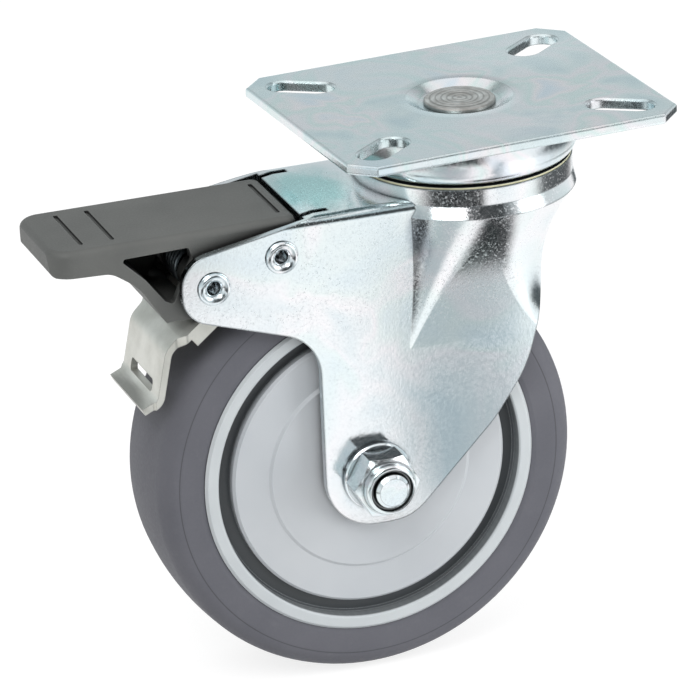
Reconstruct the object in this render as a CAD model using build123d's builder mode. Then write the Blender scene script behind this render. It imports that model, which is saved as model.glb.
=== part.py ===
from build123d import *
from math import acos, atan2, cos, degrees, radians, sin, sqrt, tan
import os

os.makedirs("parts", exist_ok=True)

# Swivel plate caster with a total-lock foot brake.
# Origin: centre of the plate's top face, on the swivel axis. +Z is up, the axle lies along Y,
# and the fork trails towards -X, where the pedal is. Depths below the plate's top are positive
# numbers called "drop".

# ---- mounting plate
plate_length = 100.0
plate_width = 85.0
plate_thickness = 3.0
plate_corner = 6.5           # chamfer of the plan corners
plate_edge_radius = 0.8
plate_turn = 3.5             # the plate's long side against the fork's trailing direction
slot_pitch_x = 72.0
slot_pitch_y = 58.0
slot_length = 19.0
slot_width = 9.0
slot_angle = 36.0            # slots point roughly at the middle
slot_bevel = 0.6
dimple_depth = 1.8
dimple_floor_radius = 11.8
dimple_rim_radius = 15.2

# ---- swivel head
kingpin_radius = 7.9
kingpin_head_radius = 10.1
kingpin_head_height = 1.4
kingpin_tail_radius = 11.0
kingpin_tail_height = 3.4
pin_clearance = 0.05         # pressed pin in its bores
race_radius = 33.0           # dish under the plate
race_rim_radius = 30.4
race_bottom_drop = 15.9
race_sheet = 2.5
upper_ball_radius = 3.0
upper_ball_circle = 24.0
upper_ball_drop = 14.5
upper_ball_count = 22
lower_ball_radius = 2.5
lower_ball_circle = 16.4
lower_ball_drop = 18.7
lower_ball_count = 16
ball_clearance = 0.05
seal_outer_radius = 30.9
seal_inner_radius = 28.4
seal_gap = 0.25              # seal to the dish's rim

# ---- fork
fork_sheet = 2.5
fork_inner_width = 40.0
crown_radius = 31.2
crown_drop = 16.8            # top of the crown's ring
crown_bore_radius = 12.4
ring_foot_drop = 21.8        # foot of the ring's wall
shoulder_drop = 25.0         # crease below the ring, widest at the sides
shoulder_reach = 1.9
front_skirt_drop = 28.8
flare_mid_drop = 45.0
flare_mid_width = 51.0
flare_end_drop = 64.0
flare_front = 19.0
shelf_drop = 20.5
shelf_end = 54.2             # rear edge of the shelf, from the swivel axis
shelf_half_width = 16.0
relief_width = 2.2
relief_length = 7.7
bend_radius = 3.0
tail_end = 91.2
tail_nose_radius = 9.2
tail_top_slope = 0.181
tail_bottom_slope = 0.324
leg_boss_radius = 15.0
arch_half_width = 15.5

# ---- wheel and axle
wheel_diameter = 125.0
tyre_width = 34.0
axle_offset = 37.0           # trail of the axle behind the swivel axis
axle_drop = 100.0
tread_crown = 0.7            # how far the tread's middle stands above its shoulders
shoulder_radius = 6.0
tyre_depth = 13.5            # rubber between the tread's middle and the rim
rim_ring_width = 4.0
rim_proud = 0.6              # rim ring beyond the tyre's side
groove_width = 4.4           # between the rim ring and the cover disc
groove_depth = 4.5
cover_drop = 1.0             # cover disc inside the rim ring's face
cover_step_inset = 0.8       # step inside the middle of the cover disc's width
cover_step = 0.7
cover_sheet = 1.8
cover_skirt = 1.5
cover_gap = 0.1              # cover disc to the hub's end below it
web_thickness = 8.0
tyre_key_height = 2.5        # rib of the core that holds the tyre
tyre_key_half = 7.0
hub_radius = 20.0
rib_count = 8
rib_thickness = 2.6
bearing_outer_radius = 16.0
bearing_inner_radius = 6.0
bearing_width = 10.0
bearing_ring = 2.6
bearing_ball_radius = 2.8
bearing_ball_count = 8
shield_sheet = 0.5
shield_gap = 0.25
sleeve_clearance = 0.05
bolt_radius = 5.0
bolt_clearance = 0.1
thread_clearance = 0.02
washer_radius = 10.0
washer_thickness = 2.0
nut_across_flats = 17.0
nut_height = 8.0
collar_height = 3.0
collar_radius = 7.4
insert_radius = 6.3
bolt_head_height = 6.4
bolt_projection = 1.2
spacer_radius = 8.2

# ---- brake
rear_rivet_x = -82.0
rear_rivet_drop = 36.2
front_rivet_x = -62.0
front_rivet_drop = 30.3
rivet_head_radius = 4.7
rivet_head_height = 1.5
rivet_radius = 2.6
rivet_bore = 1.7
rivet_clearance = 0.05
bush_radius = 3.6
bush_clearance = 0.06
pedal_half_width = 17.5
pedal_top_drop = 21.0
pedal_end = 126.6
pedal_gap = 0.9              # pedal to the shelf's edge
pedal_slab = 3.4
pedal_nose_height = 7.4
pedal_wall = 2.6
pedal_plan_radius = 6.5
pedal_inner_radius = 3.0
pedal_edge_radius = 2.0
pedal_hub_radius = 5.6
pedal_foot = 9.8             # foot of the pedal's cam below the rear rivet
tread_groove_width = 1.3
tread_groove_depth = 0.7
tread_groove_half = 12.5
pedal_travel = 10.0          # degrees
spring_wire = 1.4
spring_coil_radius = 4.9
spring_pitch = 1.9
spring_turns = 5
spring_bay = 7.0             # half width of the gap in the pedal's hub
arm_ratio = 0.32             # arm turn for each degree of the pedal
arm_sheet = 2.0
arm_half_width = 18.8
arm_toe_half_width = 15.6
arm_eye_radius = 5.2
arm_flange = 4.7
arm_slope = 38.7             # degrees, the ramp under the pedal's cam
arm_gap = 0.7                # ramp to the pedal's hub
arm_rim = 1.2
arm_web_drop = 6.6           # web below the front rivet
tongue_tip_x = -23.6
tongue_half_width = 8.0
tongue_tooth = 1.2
stop_gap = 0.3               # left to the tyre and to the lock ring at full travel
lip_half_width = 14.6
arm_window_length = 19.0
arm_window_height = 3.6
lock_tooth_count = 24
lock_ring_gap = 3.3          # lock ring inside the fork's crown
lock_ring_width = 4.2

# ---- sizes that follow
wheel_radius = wheel_diameter / 2
rim_radius = wheel_radius - tyre_depth
groove_inner_radius = rim_radius - rim_ring_width - groove_width
cover_step_radius = (hub_radius + groove_inner_radius) / 2 - cover_step_inset
fork_half = fork_inner_width / 2
cheek_face = fork_half + fork_sheet
axle_x = -axle_offset
axle_z = -axle_drop
rear_rivet_z = -rear_rivet_drop
front_rivet_z = -front_rivet_drop
arm_travel = pedal_travel * arm_ratio
pedal_inner_end = -shelf_end - pedal_gap
outer_half = tyre_width / 2
rim_face = outer_half + rim_proud
cover_face = rim_face - cover_drop
axle_axis = Axis((axle_x, 0, axle_z), (0, 1, 0))
wheel_section = Plane(origin=(axle_x, 0, axle_z), x_dir=(1, 0, 0), z_dir=(0, 0, 1))


def across(y):
    """Plane square to the axle at y, its own X along X and its own Y along Z."""
    return Plane(origin=(0, y, 0), x_dir=(1, 0, 0), z_dir=(0, -1, 0))


def turned(x, z, pivot_x, pivot_z, angle):
    """A point of the XZ plane after the pedal-down turn about a pivot."""
    a = radians(angle)
    u = x - pivot_x
    w = z - pivot_z
    return pivot_x + u * cos(a) - w * sin(a), pivot_z + u * sin(a) + w * cos(a)


# ---------------------------------------------------------------- mounting plate
slot_places = [
    (sx * slot_pitch_x / 2, sy * slot_pitch_y / 2, sx * sy * slot_angle)
    for sx in (-1, 1)
    for sy in (-1, 1)
]
plate_plane = Plane.XY.rotated((0, 0, plate_turn))
under_plate = -plate_thickness - dimple_depth

with BuildPart() as top_plate:
    with BuildSketch(plate_plane.offset(-plate_thickness)) as plate_outline:
        Rectangle(plate_length, plate_width)
        chamfer(plate_outline.vertices(), plate_corner)
        for slot_x, slot_y, slot_turn in slot_places:
            with Locations((slot_x, slot_y)):
                SlotOverall(slot_length, slot_width, rotation=slot_turn, mode=Mode.SUBTRACT)
    extrude(amount=plate_thickness)
    plate_top = top_plate.faces().sort_by(Axis.Z)[-1]
    slot_rims = [edge for wire in plate_top.inner_wires() for edge in wire.edges()]
    chamfer(slot_rims, slot_bevel)
    plate_top = top_plate.faces().sort_by(Axis.Z)[-1]
    fillet(plate_top.outer_wire().edges(), plate_edge_radius)
    plate_bottom = top_plate.faces().sort_by(Axis.Z)[0]
    fillet(plate_bottom.outer_wire().edges(), plate_edge_radius)
    # the middle is pressed down so that the pin's head stays below the top face
    with BuildSketch(Plane.XZ):
        with BuildLine():
            Polyline(
                (0, -plate_thickness + 0.5),
                (dimple_rim_radius + 2, -plate_thickness + 0.5),
                (dimple_rim_radius + 1, -plate_thickness),
                (dimple_floor_radius + 1, under_plate),
                (0, under_plate),
                close=True,
            )
        make_face()
    revolve(axis=Axis.Z)
    with BuildSketch(Plane.XZ):
        with BuildLine():
            Polyline(
                (0, 1),
                (dimple_rim_radius + 1, 1),
                (dimple_rim_radius, 0),
                (dimple_floor_radius, -dimple_depth),
                (0, -dimple_depth),
                close=True,
            )
        make_face()
    revolve(axis=Axis.Z, mode=Mode.SUBTRACT)
    with BuildSketch(Plane.XY.offset(under_plate)):
        Circle(kingpin_radius + pin_clearance)
    extrude(amount=plate_thickness + dimple_depth, mode=Mode.SUBTRACT)

# ---------------------------------------------------------------- swivel head
upper_groove = upper_ball_radius + ball_clearance
lower_groove = lower_ball_radius + ball_clearance
race_ceiling = -upper_ball_drop + upper_groove + race_sheet
race_bottom = -race_bottom_drop
race_inner_flat = -upper_ball_drop + 1.1
groove_out = upper_ball_circle + sqrt(upper_groove**2 - (upper_ball_drop + race_bottom) ** 2)
groove_in = upper_ball_circle - sqrt(upper_groove**2 - 1.1**2)
hub_under = under_plate - race_sheet - 0.3

with BuildPart() as upper_race:
    with BuildSketch(Plane.XZ):
        with BuildLine():
            dish_wall = ThreePointArc(
                (race_radius - 0.6, -plate_thickness),
                (race_radius, -plate_thickness - 5.5),
                (race_radius - 0.5, race_bottom + 3.6),
            )
            dish_curl = ThreePointArc(
                dish_wall @ 1,
                (race_rim_radius + 1.0, race_bottom + 1.0),
                (race_rim_radius - 0.8, race_bottom),
            )
            Line(dish_curl @ 1, (groove_out, race_bottom))
            groove = ThreePointArc(
                (groove_out, race_bottom),
                (upper_ball_circle, -upper_ball_drop + upper_groove),
                (groove_in, race_inner_flat),
            )
            Polyline(
                groove @ 1,
                (groove_in - 2.4, race_inner_flat),
                (kingpin_radius + 6.4, hub_under),
                (kingpin_radius + pin_clearance, hub_under),
                (kingpin_radius + pin_clearance, under_plate),
                (kingpin_radius + 7.4, under_plate),
                (groove_in - 2.2, race_ceiling),
                (race_radius - 5.0, race_ceiling),
                (race_radius - 0.6 - race_sheet, -plate_thickness),
                dish_wall @ 0,
            )
        make_face()
    revolve(axis=Axis.Z)

crown_top = -crown_drop
plateau = -upper_ball_drop + 0.5
crown_under = crown_top - fork_sheet
plateau_under = plateau - 3.4
race_web_outer = crown_radius - fork_sheet - 1.5
web_groove_out = upper_ball_circle + sqrt(upper_groove**2 - (crown_drop - upper_ball_drop) ** 2)
web_groove_in = upper_ball_circle - sqrt(upper_groove**2 - 0.4**2)
web_under_depth = -upper_ball_drop - upper_groove - fork_sheet
low_groove_edge = sqrt(lower_groove**2 - (plateau_under + lower_ball_drop) ** 2)
cup_lip_radius = lower_ball_circle + 2.1
cup_lip = -lower_ball_drop - sqrt(lower_groove**2 - 2.1**2)
cup_inner_lip = lower_ball_circle - 2.4
cup_inner = -lower_ball_drop - sqrt(lower_groove**2 - 2.4**2)
cup_under = -lower_ball_drop - lower_groove - race_sheet
lock_ring_radius = crown_radius - fork_sheet - lock_ring_gap

# the arm's tongue sets how low the ring's teeth reach
tongue_tip_drop = front_rivet_drop + arm_web_drop / 2
tooth_tip = turned(
    tongue_tip_x, -tongue_tip_drop + tongue_tooth, front_rivet_x, front_rivet_z, arm_travel
)
lock_ring_bottom = tooth_tip[1] + stop_gap
lock_ring_inner = lock_ring_radius - lock_ring_width

with BuildPart() as lock_ring:
    with BuildSketch(Plane.XZ):
        with BuildLine():
            low_groove = ThreePointArc(
                (cup_inner_lip, cup_inner),
                (lower_ball_circle, -lower_ball_drop - lower_groove),
                (cup_lip_radius, cup_lip),
            )
            Polyline(
                low_groove @ 1,
                (cup_lip_radius + 0.7, cup_lip - 1.2),
                (lock_ring_inner - 0.5, web_under_depth - 2.2),
                (lock_ring_radius, web_under_depth - 2.2),
                (lock_ring_radius, lock_ring_bottom),
                (lock_ring_inner, lock_ring_bottom),
                (lock_ring_inner, web_under_depth - 4.8),
                (cup_lip_radius + 1.0, cup_under),
                (kingpin_radius + pin_clearance, cup_under),
                (kingpin_radius + pin_clearance, cup_inner),
                low_groove @ 0,
            )
        make_face()
    revolve(axis=Axis.Z)
    # face teeth: radial slots cut up into the rim
    tooth_gap = 3.14159 * (lock_ring_radius + lock_ring_inner) / lock_tooth_count / 2
    with BuildSketch(Plane.XY.offset(lock_ring_bottom)):
        with PolarLocations((lock_ring_radius + lock_ring_inner) / 2, lock_tooth_count):
            Rectangle(lock_ring_radius - lock_ring_inner + 2, tooth_gap)
    extrude(amount=2.2, mode=Mode.SUBTRACT)

with BuildPart() as kingpin:
    head_top = -dimple_depth + kingpin_head_height
    tail_top = cup_under
    with BuildSketch(Plane.XZ):
        with BuildLine():
            Polyline(
                (0, head_top - 0.15),
                (4.0, head_top - 0.15),
                (4.3, head_top),
                (8.0, head_top),
                (8.3, head_top - 0.15),
                (kingpin_head_radius - 0.5, head_top - 0.15),
                (kingpin_head_radius, head_top - 0.6),
                (kingpin_head_radius, -dimple_depth),
                (kingpin_radius, -dimple_depth),
                (kingpin_radius, tail_top),
                (kingpin_tail_radius, tail_top),
                (kingpin_tail_radius, tail_top - 1.2),
            )
            ThreePointArc(
                (kingpin_tail_radius, tail_top - 1.2),
                (kingpin_tail_radius - 0.9, tail_top - kingpin_tail_height + 0.5),
                (kingpin_tail_radius - 3.0, tail_top - kingpin_tail_height),
            )
            Polyline(
                (kingpin_tail_radius - 3.0, tail_top - kingpin_tail_height),
                (0, tail_top - kingpin_tail_height),
                (0, head_top - 0.15),
            )
        make_face()
    revolve(axis=Axis.Z)

with BuildPart() as upper_balls:
    with PolarLocations(upper_ball_circle, upper_ball_count):
        with Locations((0, 0, -upper_ball_drop)):
            Sphere(upper_ball_radius)

with BuildPart() as lower_balls:
    with PolarLocations(lower_ball_circle, lower_ball_count):
        with Locations((0, 0, -lower_ball_drop)):
            Sphere(lower_ball_radius)

with BuildPart() as race_seal:
    seal_height = crown_drop - race_bottom_drop - seal_gap
    with BuildSketch(Plane.XY.offset(crown_top)):
        Circle(seal_outer_radius)
        Circle(seal_inner_radius, mode=Mode.SUBTRACT)
    extrude(amount=seal_height)

# ---------------------------------------------------------------- fork
# The crown's drum widens in a shoulder, then flows into two flat cheeks. The same form is made
# twice, the second one a sheet smaller, and the smaller is taken out of the larger.
flare_rear = -crown_radius


def fork_form(sheet):
    """Closed form of the fork's skin, drawn in by the sheet's thickness."""
    drop = 0.5 * sheet
    mid_length = flare_front - flare_rear
    mid_x = (flare_front + flare_rear) / 2
    with BuildPart() as form:
        with BuildSketch(Plane.XY.offset(-ring_foot_drop - drop)):
            Circle(crown_radius - sheet)
        extrude(amount=ring_foot_drop + drop - crown_drop - sheet)
        # ring wall to shoulder
        round_side = 2 * (crown_radius - sheet)
        wide_side = round_side + 2 * shoulder_reach
        with BuildSketch(Plane.XY.offset(-ring_foot_drop - drop)):
            RectangleRounded(round_side, round_side, round_side / 2 - 0.05)
        with BuildSketch(Plane.XY.offset(-shoulder_drop - drop)):
            RectangleRounded(round_side + 0.4, wide_side, round_side / 2)
        loft(ruled=True)
        # shoulder to cheeks
        with BuildSketch(Plane.XY.offset(-shoulder_drop - drop)):
            RectangleRounded(round_side + 0.4, wide_side, round_side / 2)
        with BuildSketch(Plane.XY.offset(-flare_mid_drop - drop)):
            with Locations((mid_x, 0)):
                RectangleRounded(mid_length - 2 * sheet, flare_mid_width - 2 * sheet, 17 - sheet)
        with BuildSketch(Plane.XY.offset(-flare_end_drop - drop)):
            with Locations((mid_x, 0)):
                RectangleRounded(mid_length - 2 * sheet, 2 * (cheek_face - sheet), 6 - sheet)
        loft()
        with BuildSketch(Plane.XY.offset(-flare_end_drop - drop)):
            with Locations((mid_x, 0)):
                RectangleRounded(mid_length - 2 * sheet, 2 * (cheek_face - sheet), 6 - sheet)
        extrude(amount=-(axle_drop + 2 * leg_boss_radius - flare_end_drop))
        # the tail: a box whose top is the shelf, bent down into the cheeks
        tail_length = tail_end + 10 + 4 * sheet
        with BuildSketch(Plane.YZ.offset(-tail_length)) as tail_section:
            with Locations((0, -shelf_drop - sheet)):
                Rectangle(
                    2 * (cheek_face - sheet), axle_drop + leg_boss_radius, align=(Align.CENTER, Align.MAX)
                )
            top_corners = tail_section.vertices().group_by(Axis.Z)[-1]
            fillet(top_corners, bend_radius - 0.9 * sheet)
        extrude(amount=tail_length + 6)
    return form.part


tail_top_at_end = -shelf_drop - tail_top_slope * (tail_end - shelf_end) - 0.6
tail_bottom_at_end = rear_rivet_z - tail_nose_radius + 1.1
leg_rear = axle_x - leg_boss_radius
leg_corner = tail_bottom_at_end - tail_bottom_slope * (leg_rear + tail_end)
boss_bottom = axle_z - leg_boss_radius
front_low = (-1.0, axle_z + 10.6)
boss_front = front_low[0] - (front_low[1] - boss_bottom)

with BuildPart() as fork:
    add(fork_form(0))
    add(fork_form(fork_sheet), mode=Mode.SUBTRACT)
    # side outline of the pressing
    with BuildSketch(Plane.XZ):
        with BuildLine():
            FilletPolyline(
                (60, 0),
                (60, -front_skirt_drop),
                (22.0, -front_skirt_drop),
                (16.2, -51.0),
                (9.2, -75.2),
                front_low,
                (boss_front, boss_bottom),
                (leg_rear, boss_bottom),
                (leg_rear, leg_corner),
                (-tail_end, tail_bottom_at_end),
                (-tail_end, tail_top_at_end),
                (-45.0, tail_top_at_end + tail_top_slope * (tail_end - 45.0)),
                (-45.0, 0),
                radius=[0, 0, 3, 60, 40, 25, 14, leg_boss_radius - 0.01, 14, 9.1, 9.1, 0, 0],
                close=True,
            )
        make_face()
    extrude(amount=60, both=True, mode=Mode.INTERSECT)
    # open between the legs in front
    with BuildSketch(Plane.YZ.offset(6)) as arch:
        with Locations((0, -front_skirt_drop)):
            Rectangle(2 * arch_half_width, axle_drop, align=(Align.CENTER, Align.MAX))
        fillet(arch.vertices().group_by(Axis.Z)[-1], 9)
    extrude(amount=60, mode=Mode.SUBTRACT)
    # the shelf ends behind the crown, with a relief beside each bend
    with BuildSketch(Plane.XY.offset(-shelf_drop - fork_sheet - 1.5)):
        with Locations((-shelf_end, 0)):
            Rectangle(60, fork_inner_width, align=(Align.MAX, Align.CENTER))
            for side in (-1, 1):
                with Locations((0, side * (shelf_half_width + relief_width / 2))):
                    Rectangle(2 * relief_length, relief_width)
    extrude(amount=fork_sheet + 3, mode=Mode.SUBTRACT)
    # race web: groove for the upper balls above, track for the lower balls below
    with BuildSketch(Plane.XY.offset(crown_under - 3)):
        Circle(race_web_outer)
    extrude(amount=12, mode=Mode.SUBTRACT)
    with BuildSketch(Plane.XZ):
        with BuildLine():
            Line((race_web_outer, crown_top), (web_groove_out, crown_top))
            top_groove = ThreePointArc(
                (web_groove_out, crown_top),
                (upper_ball_circle, -upper_ball_drop - upper_groove),
                (web_groove_in, -upper_ball_drop - 0.4),
            )
            Polyline(
                top_groove @ 1,
                (web_groove_in - 0.8, plateau),
                (crown_bore_radius, plateau),
                (crown_bore_radius, plateau_under),
                (lower_ball_circle - low_groove_edge, plateau_under),
            )
            ThreePointArc(
                (lower_ball_circle - low_groove_edge, plateau_under),
                (lower_ball_circle, -lower_ball_drop + lower_groove),
                (lower_ball_circle + low_groove_edge, plateau_under),
            )
            Polyline(
                (lower_ball_circle + low_groove_edge, plateau_under),
                (lower_ball_circle + low_groove_edge + 1.0, crown_under),
                (upper_ball_circle - 3.2, web_under_depth),
                (upper_ball_circle + 1.0, web_under_depth),
                (race_web_outer, crown_under),
                (race_web_outer, crown_top),
            )
        make_face()
    revolve(axis=Axis.Z)
    # bores for the axle bolt and the two rivets
    with BuildSketch(Plane.XZ):
        with Locations((axle_x, axle_z)):
            Circle(bolt_radius + bolt_clearance)
        with Locations((rear_rivet_x, rear_rivet_z), (front_rivet_x, front_rivet_z)):
            Circle(rivet_radius + rivet_clearance)
    extrude(amount=cheek_face + 5, both=True, mode=Mode.SUBTRACT)

# ---------------------------------------------------------------- wheel
cover_under = cover_face - cover_sheet
cap_face = cover_face + cover_step
cap_under = cap_face - cover_sheet
hub_end = cap_under - cover_gap
bearing_face = hub_end
bearing_back = bearing_face - bearing_width
bearing_mid = (bearing_face + bearing_back) / 2
ball_circle = (bearing_inner_radius + bearing_outer_radius) / 2
groove_floor = rim_face - groove_depth
rim_inner = rim_radius - rim_ring_width
seat_radius = groove_inner_radius - cover_skirt
shoulder_start = wheel_radius - tread_crown - shoulder_radius
key_radius = rim_radius + tyre_key_height
diagonal = sqrt(0.5)

with BuildPart() as tyre:
    with BuildSketch(wheel_section):
        with BuildLine():
            Line((rim_radius, outer_half - 0.4), (rim_radius + 1.5, outer_half))
            Line((rim_radius + 1.5, outer_half), (shoulder_start, outer_half))
            ThreePointArc(
                (shoulder_start, outer_half),
                (
                    shoulder_start + shoulder_radius * diagonal,
                    outer_half - shoulder_radius * (1 - diagonal),
                ),
                (shoulder_start + shoulder_radius, outer_half - shoulder_radius),
            )
            ThreePointArc(
                (wheel_radius - tread_crown, outer_half - shoulder_radius),
                (wheel_radius, 0),
                (wheel_radius - tread_crown, shoulder_radius - outer_half),
            )
            ThreePointArc(
                (shoulder_start + shoulder_radius, shoulder_radius - outer_half),
                (
                    shoulder_start + shoulder_radius * diagonal,
                    shoulder_radius * (1 - diagonal) - outer_half,
                ),
                (shoulder_start, -outer_half),
            )
            Polyline(
                (shoulder_start, -outer_half),
                (rim_radius + 1.5, -outer_half),
                (rim_radius, 0.4 - outer_half),
                (rim_radius, -tyre_key_half),
                (key_radius, 1 - tyre_key_half),
                (key_radius, tyre_key_half - 1),
                (rim_radius, tyre_key_half),
                (rim_radius, outer_half - 0.4),
            )
        make_face()
    revolve(axis=axle_axis)

with BuildPart() as wheel_core:
    with BuildSketch(wheel_section):
        with BuildLine():
            Polyline(
                (bearing_outer_radius - 2, 0),
                (bearing_outer_radius - 2, bearing_back),
                (bearing_outer_radius, bearing_back),
                (bearing_outer_radius, hub_end),
                (hub_radius - 0.5, hub_end),
                (hub_radius, hub_end - 0.5),
                (hub_radius + 1.5, web_thickness / 2),
                (seat_radius - 5.5, web_thickness / 2),
                (seat_radius - 4.0, cover_under),
                (seat_radius, cover_under),
                (seat_radius, groove_floor),
                (rim_inner - 0.6, groove_floor),
                (rim_inner, groove_floor + 0.6),
                (rim_inner, rim_face - 0.5),
                (rim_inner + 0.5, rim_face),
                (rim_radius - 0.8, rim_face),
                (rim_radius, rim_face - 0.8),
                (rim_radius, tyre_key_half),
                (key_radius, tyre_key_half - 1),
                (key_radius, 0),
                close=True,
            )
        make_face()
        mirror(about=Plane.XZ)
    revolve(axis=axle_axis)
    # ribs between hub and rim, on both sides of the web
    with BuildSketch(Plane(origin=(axle_x, 0, axle_z), x_dir=(1, 0, 0), z_dir=(0, -1, 0))):
        with PolarLocations((hub_radius + seat_radius - 4.5) / 2, rib_count):
            Rectangle(seat_radius - 4.5 - hub_radius + 1, rib_thickness)
    extrude(amount=cover_under - 2.5, both=True)

hub_covers = []
for side in (-1, 1):
    with BuildPart() as cover:
        with BuildSketch(wheel_section):
            with BuildLine():
                Polyline(
                    (spacer_radius + 1.0, side * cap_under),
                    (spacer_radius + 1.0, side * (cap_face - 0.4)),
                    (spacer_radius + 1.4, side * cap_face),
                    (cover_step_radius - 0.4, side * cap_face),
                    (cover_step_radius + 0.5, side * cover_face),
                    (groove_inner_radius - 0.8, side * cover_face),
                    (groove_inner_radius, side * (cover_face - 0.8)),
                    (groove_inner_radius, side * (groove_floor + 0.3)),
                    (seat_radius, side * (groove_floor + 0.3)),
                    (seat_radius, side * cover_under),
                    (cover_step_radius, side * cover_under),
                    (cover_step_radius - 1.0, side * cap_under),
                    close=True,
                )
            make_face()
        revolve(axis=axle_axis)
    hub_covers.append(cover.part)
hub_cover_near = hub_covers[0]
hub_cover_far = hub_covers[1]

ball_groove = bearing_ball_radius + ball_clearance
inner_ring_outer = bearing_inner_radius + bearing_ring
outer_ring_inner = bearing_outer_radius - bearing_ring
groove_half = sqrt(ball_groove**2 - (ball_circle - inner_ring_outer) ** 2)

with BuildPart() as bearing_inner_rings:
    for side in (-1, 1):
        with BuildSketch(wheel_section):
            with Locations(((bearing_inner_radius + inner_ring_outer) / 2, side * bearing_mid)):
                Rectangle(bearing_ring, bearing_width)
            with Locations((ball_circle, side * bearing_mid)):
                Circle(ball_groove, mode=Mode.SUBTRACT)
        revolve(axis=axle_axis)

with BuildPart() as bearing_outer_rings:
    for side in (-1, 1):
        with BuildSketch(wheel_section):
            with Locations(((bearing_outer_radius + outer_ring_inner) / 2, side * bearing_mid)):
                Rectangle(bearing_ring, bearing_width)
            with Locations((ball_circle, side * bearing_mid)):
                Circle(ball_groove, mode=Mode.SUBTRACT)
        revolve(axis=axle_axis)

with BuildPart() as bearing_balls:
    for side in (-1, 1):
        ball_plane = Plane(
            origin=(axle_x, side * bearing_mid, axle_z), x_dir=(1, 0, 0), z_dir=(0, -1, 0)
        )
        with Locations(ball_plane):
            with PolarLocations(ball_circle, bearing_ball_count):
                Sphere(bearing_ball_radius)

with BuildPart() as bearing_shields:
    for side in (-1, 1):
        with BuildSketch(wheel_section):
            for shield_y in (bearing_face - 0.2 - shield_sheet / 2, bearing_back + 0.2 + shield_sheet / 2):
                with Locations(((inner_ring_outer + shield_gap + outer_ring_inner) / 2, side * shield_y)):
                    Rectangle(outer_ring_inner - inner_ring_outer - shield_gap, shield_sheet)
        revolve(axis=axle_axis)

# ---------------------------------------------------------------- axle
sleeve_outer = bearing_inner_radius - sleeve_clearance
sleeve_inner = bolt_radius + bolt_clearance
washer_face = cheek_face + washer_thickness
nut_face = washer_face + nut_height
collar_face = nut_face + collar_height
hex_radius = nut_across_flats / 2

with BuildPart() as axle_sleeve:
    with BuildSketch(wheel_section):
        with Locations(((sleeve_inner + sleeve_outer) / 2, 0)):
            Rectangle(sleeve_outer - sleeve_inner, fork_inner_width)
    revolve(axis=axle_axis)

with BuildPart() as axle_spacers:
    for side in (-1, 1):
        with BuildSketch(wheel_section):
            with Locations(
                ((bearing_inner_radius + spacer_radius) / 2, side * (bearing_face + fork_half) / 2)
            ):
                Rectangle(spacer_radius - bearing_inner_radius, fork_half - bearing_face)
        revolve(axis=axle_axis)

with BuildPart() as axle_washers:
    for side in (-1, 1):
        with BuildSketch(wheel_section):
            with BuildLine():
                Polyline(
                    (bolt_radius + 0.3, side * cheek_face),
                    (washer_radius, side * cheek_face),
                    (washer_radius, side * (washer_face - 0.5)),
                    (washer_radius - 0.5, side * washer_face),
                    (bolt_radius + 0.3, side * washer_face),
                    close=True,
                )
            make_face()
        revolve(axis=axle_axis)

with BuildPart() as axle_nut:
    with BuildSketch(Plane(origin=(axle_x, -washer_face, axle_z), x_dir=(1, 0, 0), z_dir=(0, -1, 0))):
        RegularPolygon(hex_radius, 6, major_radius=False)
    extrude(amount=nut_height)
    # corners turned off on the outer side, then the collar that holds the insert
    with BuildSketch(wheel_section):
        with BuildLine():
            Polyline(
                (0, 1 - washer_face),
                (hex_radius + 3, 1 - washer_face),
                (hex_radius + 3, 2.4 - nut_face),
                (hex_radius - 0.4, -nut_face),
                (0, -nut_face),
                close=True,
            )
        make_face()
    revolve(axis=axle_axis, mode=Mode.INTERSECT)
    with BuildSketch(wheel_section):
        with BuildLine():
            Line((insert_radius, 1.5 - nut_face), (collar_radius + 0.4, 1.5 - nut_face))
            Line((collar_radius + 0.4, 1.5 - nut_face), (collar_radius, 1.2 - collar_face))
            ThreePointArc(
                (collar_radius, 1.2 - collar_face),
                (collar_radius - 0.35, 0.35 - collar_face),
                (collar_radius - 1.2, -collar_face),
            )
            Line((collar_radius - 1.2, -collar_face), (bolt_radius + 0.9, 0.5 - collar_face))
            Line((bolt_radius + 0.9, 0.5 - collar_face), (insert_radius, 0.9 - collar_face))
            Line((insert_radius, 0.9 - collar_face), (insert_radius, 1.5 - nut_face))
        make_face()
    revolve(axis=axle_axis)
    with BuildSketch(wheel_section):
        with Locations((insert_radius / 2, (2.4 - nut_face - collar_face) / 2)):
            Rectangle(insert_radius, collar_face - nut_face + 0.6)
    revolve(axis=axle_axis, mode=Mode.SUBTRACT)
    with BuildSketch(wheel_section):
        with Locations(((bolt_radius + thread_clearance) / 2, -nut_face / 2)):
            Rectangle(bolt_radius + thread_clearance, nut_face)
    revolve(axis=axle_axis, mode=Mode.SUBTRACT)

with BuildPart() as nut_insert:
    with BuildSketch(wheel_section):
        with BuildLine():
            Polyline(
                (bolt_radius + thread_clearance, 1.5 - nut_face),
                (insert_radius, 1.5 - nut_face),
                (insert_radius, 0.9 - collar_face),
                (bolt_radius + 0.5, 0.9 - collar_face),
                (bolt_radius + thread_clearance, 1.4 - collar_face),
                close=True,
            )
        make_face()
    revolve(axis=axle_axis)

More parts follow.
